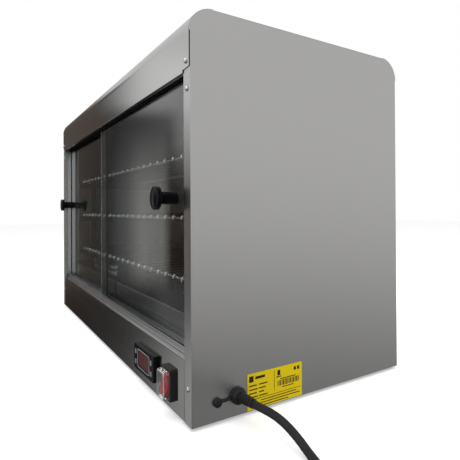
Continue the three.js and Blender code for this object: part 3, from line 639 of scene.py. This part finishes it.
# ---- Top cover ----
def top_cover():
    """One bent sheet: front fascia with a hem, front curve, flat top, rear curve and rear lip."""
    low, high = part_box("top_cover")
    front, rear = FRONT - COVER_PROUD + COVER / 2, REAR + COVER_PROUD - COVER / 2
    top, hem = TOP - COVER / 2, low.z + COVER / 2
    bend = CORNER - COVER / 2
    corners = [(front + 5 * MM, hem), (front, hem), (front, top), (rear, top), (rear, TOP - REAR_LIP)]
    line = fold_line(corners, [1 * MM, bend, bend], 18)
    bm = folded(line, COVER, low.x, high.x)
    shift = (FRONT - COVER_PROUD) - min(v.co.y for v in bm.verts)
    rise = TOP - max(v.co.z for v in bm.verts)
    bmesh.ops.translate(bm, vec=(0, shift, rise), verts=bm.verts)
    between = high.x
    opening = SIDE - FLANGE - 0.2 * MM
    edge, tab = low.z, low.z + 5 * MM
    notches = []
    for side in (1, -1):
        outline = [
            (opening, edge - 2 * MM), (SIDE + 1 * MM, edge - 2 * MM), (SIDE + 1 * MM, tab + 3 * MM),
            (between - 1.2 * MM, tab + 0.4 * MM), (opening, tab - 0.6 * MM)]
        notches.append(prism([(side * x, FRONT - 5 * MM, z) for x, z in outline], (0, 13 * MM, 0)))
    bm = solid(bm, notches, "DIFFERENCE")
    # The cover's end faces take the dark edge steel, painted shade along the seam over the side panels.
    for face in bm.faces:
        face.material_index = 1 if abs(face.normal.x) > 0.9 else 0
    return piece(
        "top_cover_finished", bm, [steel_cover, steel_edge], replaces=["top_cover"],
        soften=0.2 * MM)


top_cover()

# ---- Folded sheets that keep their CAD shape ----
# The lower fascia takes the darkened fascia steel, a painted reflection of a dark counter.
softened_copy("lower_fascia", steel_fascia, soften=0.6 * MM)


def back_panel():
    """Brushed steel outside, in the darker fascia tone; the inside is toned darker still, as painted shade
    inside the case.
    """
    bm = copied("back_panel")
    for face in bm.faces:
        face.material_index = 1 if face.normal.y > 0.9 else 0
    return piece(
        "back_panel_finished", bm, [steel_inside, steel_fascia], replaces=["back_panel"])


back_panel()
# The base plate, header rail, deck, rack frames and element brackets take the darker inside steels, painted
# shade inside the case.
softened_copy("base_plate", steel_inside)
softened_copy("header_rail", steel_inside)
softened_copy("inner_deck", steel_deck, soften=0.7 * MM)
softened_copy("bottom_track", aluminium, soften=0.2 * MM)
# Its near-black paints the shade under the front fascia.
softened_copy("top_track", track_painted_shade, soften=0.2 * MM)
softened_copy("jamb_right", aluminium_upright, soften=0.2 * MM)
softened_copy("jamb_left", aluminium_upright, soften=0.2 * MM)
softened_copy("rack_frame_right", steel_inside)
softened_copy("rack_frame_left", steel_inside)
softened_copy("element_bracket_left", steel_inside)
softened_copy("element_bracket_right", steel_inside)
softened_copy("terminal_block", grey_plastic, soften=0.6 * MM)


# ---- Sliding doors ----
def door_pane(node, body):
    """Clear pane with dark green edges; the outer pane's ground arrises and left end face are pale, as ground
    glass and a painted highlight.
    """
    bm = copied(node)
    for face in bm.faces:
        face.material_index = 0 if abs(face.normal.y) > 0.9 else 1
    outer = node.endswith("right")
    for face in bm.faces:
        # The outer pane's left end face is pale: ground glass and a painted highlight.
        if outer and face.normal.x < -0.9:
            face.material_index = 2
    return piece(
        f"{node}_pane", bm, [pane_glass, pane_edge, ground_arris], body, [node],
        soften=0.9 * MM, steps=1, arris=2 if outer else 1)


KNOB_PROFILE = [
    (0, 0), (7.0, 0), (7.6, 0.4), (7.75, 1.0), (7.7, 21.2), (7.9, 21.9), (8.7, 22.4), (11.4, 22.75),
    (13.2, 23.1), (14.0, 23.6), (14.3, 24.3), (14.1, 25.0), (13.3, 25.5), (12.7, 25.8), (12.6, 26.1),
    (13.2, 26.5), (14.1, 27.0), (14.45, 27.7), (14.1, 28.5), (13.1, 29.1), (10.8, 29.5), (7.0, 29.8),
    (3.4, 29.95), (0, 30.0)]


def door_knob(node, body):
    """Turned knob: stem, rear rim, V-groove, front rim and a shallow dome."""
    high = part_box(node)[1]
    centre = middle(node)
    bm = placed(lathe(KNOB_PROFILE, 64), (centre.x, high.y, centre.z), TO_FRONT)
    return piece(f"{node}_turned", bm, gloss_black, body, [node], soften=0, sharp=60)


def knob_screw(node, body):
    """Pan-head screw with a cross recess, behind the pane."""
    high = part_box(node)[1]
    centre = middle(node)
    head = [(0, 0), (1.8, 0.1), (3.2, 0.5), (4.0, 1.3), (4.0, 2.2), (2.0, 2.2), (2.0, 12.0), (0, 12.0)]
    bm = placed(lathe(head, 32), (centre.x, high.y, centre.z), TO_FRONT)
    slots = [
        plate((centre.x, high.y, centre.z), (3.6 * MM, 1.8 * MM, 0.8 * MM)),
        plate((centre.x, high.y, centre.z), (0.8 * MM, 1.8 * MM, 3.6 * MM))]
    bm = solid(bm, slots, "DIFFERENCE")
    return piece(f"{node}_headed", bm, chrome, body, [node], soften=0.08 * MM)


for hand in ("right", "left"):
    door_pane(f"door_glass_{hand}", f"door_{hand}")
    door_knob(f"knob_{hand}", f"door_{hand}")
    knob_screw(f"knob_screw_{hand}", f"door_{hand}")


# ---- Wire racks ----
WIRE = 3.6 * MM
ROD = 5 * MM
WIRE_PITCH = 30 * MM
WIRES = 24


def rack_wire(x, front, rear, z):
    """One wire, its front end bent down over the front rod."""
    bend = 3.4 * MM
    drop = 2.4 * MM
    points = [(x, rear, z), (x, (front + rear) / 2, z)]
    points += [(x, y, height) for y, height in arc((front + bend, z - bend), bend, 90, 180, 6)]
    points.append((x, front, z - bend - drop))
    return pipe(points, WIRE / 2, 12)


def wire_rack(level):
    """Front-to-back wires welded on three cross rods."""
    node = f"rack_{level}"
    low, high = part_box(node)
    z = high.z - WIRE / 2
    rod_z = low.z + ROD / 2
    wires = [
        rack_wire((k - (WIRES - 1) / 2) * WIRE_PITCH, low.y + WIRE / 2, high.y, z) for k in range(WIRES)]
    inset = 5 * MM
    rods = [
        pipe([(low.x, y, rod_z), (0, y, rod_z), (high.x, y, rod_z)], ROD / 2, 16)
        for y in (low.y + inset + 1.5 * MM, (low.y + high.y) / 2, high.y - inset)]
    bm = joined(rods + wires)
    return piece(
        f"{node}_wires", bm, rack_chrome, f"{node}_body", [node], soften=0, sharp=50)


for level in ("lower", "middle", "upper"):
    wire_rack(level)


# ---- Water tray ----
def water_tray():
    """A shallow pressed pan with a flat rim and rounded corners."""
    low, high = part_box("water_tray")
    centre = middle("water_tray")
    rim, wall = 6 * MM, 0.8 * MM
    depth = high.z - low.z - wall
    bm = bmesh.new()
    bmesh.ops.create_grid(bm, x_segments=1, y_segments=1, size=0.5)
    bmesh.ops.scale(bm, vec=(high.x - low.x, high.y - low.y, 1), verts=bm.verts)
    bmesh.ops.bevel(
        bm, geom=bm.verts[:], offset=14 * MM, segments=8, profile=0.5, affect="VERTICES", material=-1)
    bmesh.ops.translate(bm, vec=(centre.x, centre.y, high.z), verts=bm.verts)
    floor = bm.faces[:]
    bmesh.ops.inset_region(bm, faces=floor, thickness=rim, use_even_offset=True)
    grown = bmesh.ops.extrude_face_region(bm, geom=floor)["geom"]
    sunk = [part for part in grown if isinstance(part, bmesh.types.BMVert)]
    bmesh.ops.delete(bm, geom=[f for f in floor if f.is_valid], context="FACES_ONLY")
    bmesh.ops.translate(bm, vec=(0, 0, -depth), verts=sunk)
    bmesh.ops.scale(bm, vec=(0.975, 0.98, 1), space=Matrix.Translation(-centre), verts=sunk)
    turns = [e for e in bm.edges if len(e.link_faces) == 2 and e.calc_face_angle(0) > math.radians(30)]
    across = [e for e in turns if abs(e.verts[0].co.z - e.verts[1].co.z) < 1e-6]
    bmesh.ops.bevel(
        bm, geom=across, offset=2.2 * MM, segments=4, profile=0.5, affect="EDGES", material=-1)
    bmesh.ops.recalc_face_normals(bm, faces=bm.faces)
    if sum(f.normal.z * f.calc_area() for f in bm.faces) < 0:
        bmesh.ops.reverse_faces(bm, faces=bm.faces)
    bmesh.ops.solidify(bm, geom=bm.faces, thickness=wall)
    bmesh.ops.recalc_face_normals(bm, faces=bm.faces)
    return piece(
        "water_tray_pressed", bm, steel_pan, "tray", ["water_tray"], soften=0.2 * MM)


water_tray()


# ---- Heating element and probe ----
def element():
    """The sheathed element as a smooth serpentine."""
    low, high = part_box("heating_element")
    radius = 4 * MM
    z = (low.z + high.z) / 2
    rows = [FRONT + 100 * MM, FRONT + 180 * MM, FRONT + 260 * MM]
    half = (rows[1] - rows[0]) / 2
    left, right = low.x + radius + half, high.x - radius - half
    points = [(high.x - 1 * MM, rows[0], z), (right, rows[0], z), (0, rows[0], z), (left, rows[0], z)]
    points += [(x, y, z) for x, y in arc((left, rows[0] + half), half, 270, 90, 16)[1:]]
    points += [(0, rows[1], z), (right - 40 * MM, rows[1], z)]
    points += [(x, y, z) for x, y in arc((right - 40 * MM, rows[1] + half), half, -90, 90, 16)[1:]]
    points += [(0, rows[2], z), (left, rows[2], z)]
    bm = pipe(points, radius, 20)
    return piece(
        "heating_element_drawn", bm, sheath, replaces=["heating_element"], soften=0,
        sharp=50)


def probe():
    """The temperature probe: a closed tube with a crimped end."""
    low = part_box("sensor_probe")[0]
    centre = middle("sensor_probe")
    shape = [
        (0, 0), (1.6, 0.15), (2.6, 0.8), (3.0, 2), (3.0, 29), (2.5, 30), (2.5, 32), (3.0, 33), (3.0, 34.4),
        (2.1, 35.4), (1.6, 36.5), (1.6, 46), (0, 46)]
    bm = placed(lathe(shape, 32), (low.x, centre.y, centre.z), TO_RIGHT)
    return piece("sensor_probe_turned", bm, chrome, replaces=["sensor_probe"], soften=0)


element()
probe()


# ---- Temperature controller ----
KEYS = ["key_upper_left", "key_lower_left", "key_upper_right", "key_lower_right"]


def controller():
    """A panel controller: glossy bezel, pale line round a smoked window, and four keys in pockets."""
    low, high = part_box("controller_body")
    window_low, window_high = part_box("controller_window")
    centre = middle("controller_window")
    face = low.y
    seat = FRONT - 0.3 * MM
    bezel = block((low.x, face, low.z), (high.x, seat, high.z), 2.5 * MM, 1, 8)
    rims = [e for e in bezel.edges if all(abs(v.co.y - face) < 1e-6 for v in e.verts)]
    bmesh.ops.bevel(bezel, geom=rims, offset=1.3 * MM, segments=4, profile=0.6, affect="EDGES", material=-1)
    half_wide, half_tall = 34.8 * MM, 14 * MM
    body = block(
        (centre.x - half_wide, seat - 1 * MM, centre.z - half_tall),
        (centre.x + half_wide, high.y, centre.z + half_tall))
    gap = 0.3 * MM
    tools = [block(
        (window_low.x - gap, face - 1 * MM, window_low.z - gap),
        (window_high.x + gap, window_high.y + gap, window_high.z + gap), 1.5 * MM, 1, 6)]
    for key in KEYS:
        key_low, key_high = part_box(key)
        tools.append(block(
            (key_low.x - gap, face - 1 * MM, key_low.z - gap),
            (key_high.x + gap, key_high.y + 0.9 * MM, key_high.z + gap), 1.8 * MM, 1, 6))
    bm = solid(solid(bezel, [body], "UNION"), tools, "DIFFERENCE")
    piece(
        "controller_moulded", bm, gloss_black, replaces=["controller_body"],
        soften=0.15 * MM, sharp=40)

    line = 0.9 * MM
    reach = Vector((46, 0, 25.5)) * MM
    outer = plate((centre.x, face - 0.1 * MM, centre.z), (reach.x, 0.3 * MM, reach.z), 4 * MM, 1, 4)
    inner_size = (reach.x - 2 * line, 3 * MM, reach.z - 2 * line)
    inner = plate((centre.x, face, centre.z), inner_size, 3.2 * MM, 1, 4)
    outlined = solid(outer, [inner], "DIFFERENCE")
    piece("controller_line", outlined, pale_line, soften=0.06 * MM, steps=1)

    glass = block(window_low, window_high, 1.3 * MM, 1, 6)
    piece(
        "controller_window_smoked", glass, smoked_window, replaces=["controller_window"],
        soften=0.25 * MM)
    for key in KEYS:
        key_low, key_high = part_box(key)
        bm = block(key_low, key_high, 1.7 * MM, 1, 8)
        piece(
            f"{key}_cap", bm, grey_plastic, key.replace("key", "button"), [key],
            soften=0.45 * MM, steps=3, sharp=50)


controller()


# ---- Switch ----
ROCKER_TILT = math.radians(9)


def switch():
    """A rocker switch in a black housing, under a clear splash boot."""
    low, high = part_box("switch_housing")
    centre = middle("switch_housing")
    face, seat = low.y, FRONT - 0.3 * MM
    bezel = block((low.x, face, low.z), (high.x, seat, high.z), 3 * MM, 1, 8)
    rims = [e for e in bezel.edges if all(abs(v.co.y - face) < 1e-6 for v in e.verts)]
    bmesh.ops.bevel(bezel, geom=rims, offset=1.6 * MM, segments=4, profile=0.5, affect="EDGES", material=-1)
    half_wide, half_tall = 10.6 * MM, 15.6 * MM
    shank = block(
        (centre.x - half_wide, seat - 1 * MM, centre.z - half_tall),
        (centre.x + half_wide, high.y, centre.z + half_tall))
    half_wide, half_tall = 9.1 * MM, 14 * MM
    well = block(
        (centre.x - half_wide, face - 1 * MM, centre.z - half_tall),
        (centre.x + half_wide, face + 12 * MM, centre.z + half_tall))
    bm = solid(solid(bezel, [shank], "UNION"), [well], "DIFFERENCE")
    made = [piece(
        "switch_housing_moulded", bm, moulded_black, replaces=["switch_housing"],
        soften=0.2 * MM)]

    turn = Matrix.Rotation(-ROCKER_TILT, 4, "X")
    half_width, half, proud = 8.5 * MM, 12.5 * MM, 3.4 * MM
    hollow = 2.2 * MM
    outline = [(6 * MM, -half + 4 * MM), (6 * MM, half - 4 * MM), (1 * MM, half), (-proud, half - 0.6 * MM)]
    steps = 10
    for k in range(1, steps):
        share = 1 - 2 * k / steps
        outline.append((-proud + hollow * (1 - share * share), share * (half - 0.6 * MM)))
    outline += [(-proud, -half + 0.6 * MM), (1 * MM, -half)]
    place = Vector((centre.x, face, centre.z))
    rocker = placed(
        prism([(-half_width, y, z) for y, z in outline], (2 * half_width, 0, 0)), place, turn)
    made.append(piece(
        "switch_rocker_red", rocker, red_plastic, "rocker", ["switch_rocker"],
        soften=0.7 * MM, steps=3))

    surface = -proud + 0.55 * hollow
    ring = lathe([(2.0, 0), (2.7, 0), (2.7, 0.5), (2.0, 0.5), (2.0, 0)], 40)
    ring = placed(placed(ring, (0, surface + 0.35 * MM, 7.0 * MM), TO_FRONT), place, turn)
    bar = placed(
        plate((0, surface + 0.1 * MM, -7.0 * MM), (0.9 * MM, 0.5 * MM, 5.0 * MM)), place, turn)
    made.append(piece(
        "switch_marks", joined([ring, bar]), white_print, "rocker",
        soften=0.08 * MM, steps=1))

    boot_low, boot_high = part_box("switch_boot")
    dome = block(boot_low, boot_high, 4 * MM, 1, 8)
    rims = [e for e in dome.edges if all(abs(v.co.y - boot_low.y) < 1e-6 for v in e.verts)]
    bmesh.ops.bevel(dome, geom=rims, offset=2.4 * MM, segments=5, profile=0.5, affect="EDGES", material=-1)
    wall = 0.9 * MM
    inside = block(
        (boot_low.x + wall, boot_low.y + wall, boot_low.z + wall),
        (boot_high.x - wall, boot_high.y + 1 * MM, boot_high.z - wall), 3.2 * MM, 1, 8)
    bm = solid(dome, [inside], "DIFFERENCE")
    made.append(piece(
        "switch_boot_clear", bm, silicone, replaces=["switch_boot"],
        soften=0.2 * MM, sharp=50))
    for part in made:  # the brushed fascia is too dull to mirror the switch
        part.visible_glossy = False


switch()

# ---- Rivets and feet ----
RIVET_DOME = [
    (0, 0), (3.0, 0), (3.0, 0.25), (2.85, 0.75), (2.45, 1.25), (1.8, 1.65), (1.0, 1.92), (0, 2.0)]


def rivet(name, place, turn, replaces=()):
    """A bright domed rivet head."""
    bm = placed(lathe(RIVET_DOME, 32), place, turn)
    return piece(name, bm, chrome, replaces=replaces, soften=0, sharp=60)


for hand in ("right", "left"):
    for where in ("cover", "upper", "lower"):
        node = f"rivet_{where}_{hand}"
        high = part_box(node)[1]
        centre = middle(node)
        rivet(f"{node}_dome", (centre.x, high.y, centre.z), TO_FRONT, [node])


def foot(node):
    """A round rubber foot with a bevelled base and a chamfered top rim."""
    low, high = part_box(node)
    centre = middle(node)
    tall = (high.z - low.z) / MM
    shape = [(0, 0), (10.4, 0), (11.4, 0.35), (12, 1.3), (12, tall - 0.4), (11.6, tall), (0, tall)]
    bm = placed(lathe(shape, 48), (centre.x, centre.y, low.z))
    return piece(f"{node}_moulded", bm, rubber, replaces=[node], soften=0)


for hand in ("right", "left"):
    for end in ("front", "rear"):
        foot(f"foot_{end}_{hand}")


# ---- Rating label ----
def label():
    """Yellow film with generic blocks and bars in place of any wording."""
    low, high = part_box("rating_label")
    film = block(low, high, 1.0 * MM, 0, 4)
    piece("rating_label_film", film, yellow_film, replaces=["rating_label"], soften=0)
    wide, tall = high.y - low.y, high.z - low.z
    ink = 0.04 * MM

    def mark(across, up, width, height):
        """One printed block; its place and size are shares of the label's width and height."""
        y, z = low.y + across * wide, low.z + up * tall
        return block((high.x - ink, y, z), (high.x + ink, y + width * wide, z + height * tall))

    marks = [mark(0.03, 0.76, 0.075, 0.17), mark(0.135, 0.82, 0.17, 0.075)]
    for row in range(4):
        marks.append(mark(0.03, 0.64 - row * 0.105, 0.13 + 0.02 * (row % 2), 0.034))
        marks.append(mark(0.20, 0.64 - row * 0.105, 0.15 - 0.03 * (row % 3), 0.034))
    marks.append(mark(0.47, 0.34, 0.008, 0.58))
    marks.append(mark(0.03, 0.265, 0.94, 0.016))
    marks.append(mark(0.53, 0.76, 0.055, 0.15))
    marks.append(mark(0.51, 0.71, 0.095, 0.030))
    marks.append(mark(0.84, 0.80, 0.045, 0.10))
    marks.append(mark(0.905, 0.80, 0.045, 0.10))
    for row, width in enumerate((0.66, 0.72, 0.50)):
        marks.append(mark(0.23, 0.19 - row * 0.075, width, 0.026))
    bars = 20
    for k in range(bars):
        thick = 0.0075 + 0.0045 * ((k * 7) % 3)
        marks.append(mark(0.53 + 0.42 * k / bars, 0.45, thick, 0.16))
    marks.append(mark(0.58, 0.63, 0.30, 0.028))
    marks.append(mark(0.62, 0.39, 0.22, 0.026))
    piece("rating_label_marks", joined(marks), label_ink, soften=0)


label()


# ---- Floor, background and light ----
def floor():
    """A plain pale floor, which neither the metal nor the glass shows."""
    bm = bmesh.new()
    bmesh.ops.create_grid(bm, x_segments=1, y_segments=1, size=8)
    mesh = bpy.data.meshes.new("floor")
    bm.to_mesh(mesh)
    bm.free()
    mesh.materials.append(finish(
        "pale_floor", (0.93, 0.93, 0.93), 0.9, emission_color=(1, 1, 1, 1), emission_strength=0.35))
    made = bpy.data.objects.new("floor", mesh)
    bpy.context.scene.collection.objects.link(made)
    made.visible_glossy = False
    made.visible_transmission = False
    made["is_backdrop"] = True


# What the doors and fascias mirror: light against the angle in degrees from the far left towards the
# front, in one list for each band of height.
HIGH_LIGHT = [
    (6, (0.10, 0.078, 0.06)), (11, (0.092, 0.072, 0.056)), (13, (0.06, 0.052, 0.047)), (14.2, 0.07),
    (15.4, 0.14), (16.7, 0.33), (17.9, 0.53), (19.2, 0.65), (20.5, 0.73), (25, 0.78), (40, 0.78)]
SHOULDER_LIGHT = [
    (6, (0.12, 0.095, 0.078)), (13, (0.08, 0.06, 0.05)), (16, 0.05), (19, 0.12), (21.5, 0.20), (23, 0.26),
    (24.6, 0.62), (40, 0.66)]
LEVEL_LIGHT = [
    (6, (0.12, 0.095, 0.078)), (13, (0.06, 0.052, 0.047)), (15.5, 0.06), (17.5, 0.20),
    (19.5, (0.52, 0.52, 0.50)), (22.2, (0.48, 0.47, 0.44)), (23.3, (0.06, 0.042, 0.037)),
    (32, (0.04, 0.03, 0.026)), (42, 0.30)]
LOW_LIGHT = [
    (6, (0.035, 0.020, 0.017)), (12.5, (0.028, 0.022, 0.018)), (14.4, 0.02), (16.4, 0.028), (18, 0.035),
    (19.2, 0.05), (20.5, 0.08), (21.5, 0.13), (22.6, 0.17), (24.6, 0.15), (40, 0.18)]
FLOOR_LIGHT = [
    (6, (0.035, 0.020, 0.017)), (12.5, (0.028, 0.022, 0.018)), (14.4, 0.02), (16.4, 0.028), (18, 0.042),
    (19.2, 0.07), (20.5, 0.13), (21.5, 0.21), (22.6, 0.32), (24.6, 0.42), (40, 0.48)]
# The rest of the room, against height: the counter below, the walls, the bright ceiling.
ROOM_LIGHT = [
    (-90, 0.10), (-26, 0.13), (-19, 0.25), (-13, 0.40), (-4, 0.585), (8, 0.66), (20, 0.62), (35, 0.66),
    (90, 0.70)]


# Where each band takes over from the one below it, in degrees above the horizon.
BANDS = [
    (-20, -13, LOW_LIGHT), (-11.5, -6.5, LEVEL_LIGHT), (1, 12, SHOULDER_LIGHT), (11.5, 14.5, HIGH_LIGHT)]


def surroundings():
    """A white background, and for mirrored light a soft room that is dark at the far left."""
    world = bpy.data.worlds.new("studio")
    bpy.context.scene.world = world
    world.use_nodes = True
    tree = world.node_tree
    tree.nodes.clear()
    link = tree.links.new

    def node(kind, **values):
        made = tree.nodes.new(kind)
        for key, value in values.items():
            setattr(made, key, value)
        return made

    def math_node(operation, first, second=None):
        made = node("ShaderNodeMath", operation=operation)
        link(first, made.inputs[0])
        if hasattr(second, "node"):
            link(second, made.inputs[1])
        elif second is not None:
            made.inputs[1].default_value = second
        return made.outputs[0]

    def between(source, start, end, smooth=True):
        """0 before the start angle and 1 after the end angle, both in degrees."""
        made = node("ShaderNodeMapRange", interpolation_type="SMOOTHSTEP" if smooth else "LINEAR")
        made.inputs["From Min"].default_value = math.radians(start)
        made.inputs["From Max"].default_value = math.radians(end)
        link(source, made.inputs["Value"])
        return made.outputs["Result"]

    def lights(stops, source):
        """A colour ramp whose stops are angles in degrees."""
        first, last = stops[0][0], stops[-1][0]
        made = node("ShaderNodeValToRGB")
        points = made.color_ramp.elements
        while len(points) < len(stops):
            points.new(1.0)
        for point, (angle, color) in zip(points, stops):
            point.position = (angle - first) / (last - first)
            point.color = (*color, 1) if isinstance(color, tuple) else (color, color, color, 1)
        link(between(source, first, last, smooth=False), made.inputs["Fac"])
        return made.outputs["Color"]

    def blend(share, first, second):
        made = node("ShaderNodeMix", data_type="RGBA")
        link(share, made.inputs[0])
        link(first, made.inputs[6])
        link(second, made.inputs[7])
        return made.outputs[2]

    place = node("ShaderNodeTexCoord")
    parts = node("ShaderNodeSeparateXYZ")
    link(place.outputs["Generated"], parts.inputs["Vector"])
    height = math_node("ARCSINE", parts.outputs["Z"])
    forwards = math_node("MULTIPLY", parts.outputs["Y"], -1.0)
    leftwards = math_node("MULTIPLY", parts.outputs["X"], -1.0)
    round_from_left = math_node("ARCTAN2", forwards, leftwards)
    left = lights(FLOOR_LIGHT, round_from_left)
    for start, end, band in BANDS:
        left = blend(between(height, start, end), left, lights(band, round_from_left))
    room = lights(ROOM_LIGHT, height)
    inside = math_node("MULTIPLY", between(round_from_left, -50, -12), between(round_from_left, 65, 38))
    below_ceiling = between(height, 22, 17.5)
    light = blend(math_node("MULTIPLY", inside, below_ceiling), room, left)
    seen = node("ShaderNodeLightPath")
    lit, plain = node("ShaderNodeBackground"), node("ShaderNodeBackground")
    link(light, lit.inputs["Color"])
    plain.inputs["Color"].default_value = (1, 1, 1, 1)
    choose = node("ShaderNodeMixShader")
    output = node("ShaderNodeOutputWorld")
    link(seen.outputs["Is Camera Ray"], choose.inputs[0])
    link(lit.outputs["Background"], choose.inputs[1])
    link(plain.outputs["Background"], choose.inputs[2])
    link(choose.outputs["Shader"], output.inputs["Surface"])


def softbox(name, place, target, size, power, glossy=True):
    """A large soft area light aimed at a point."""
    data = bpy.data.lights.new(name, "AREA")
    data.shape = "RECTANGLE"
    data.size, data.size_y = size
    data.energy = power
    light = bpy.data.objects.new(name, data)
    light.location = place
    light.rotation_mode = "QUATERNION"
    light.rotation_quaternion = (Vector(target) - Vector(place)).to_track_quat("-Z", "Y")
    light.visible_glossy = glossy
    bpy.context.scene.collection.objects.link(light)


floor()
surroundings()
softbox("overhead_softbox", (0.3, -0.2, 2.4), (0.1, 0, 0), (2.6, 2.6), 40, glossy=False)
softbox("ceiling_lamp", (-1.54, -1.09, 2.42), (0.3, -0.2, 0.26), (0.3, 0.3), 8)
softbox("front_softbox", (1.6, -2.2, 1.5), (0.2, 0, 0.2), (1.6, 1.2), 12, glossy=False)
bpy.context.scene.view_settings.view_transform = "Standard"

low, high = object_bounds()
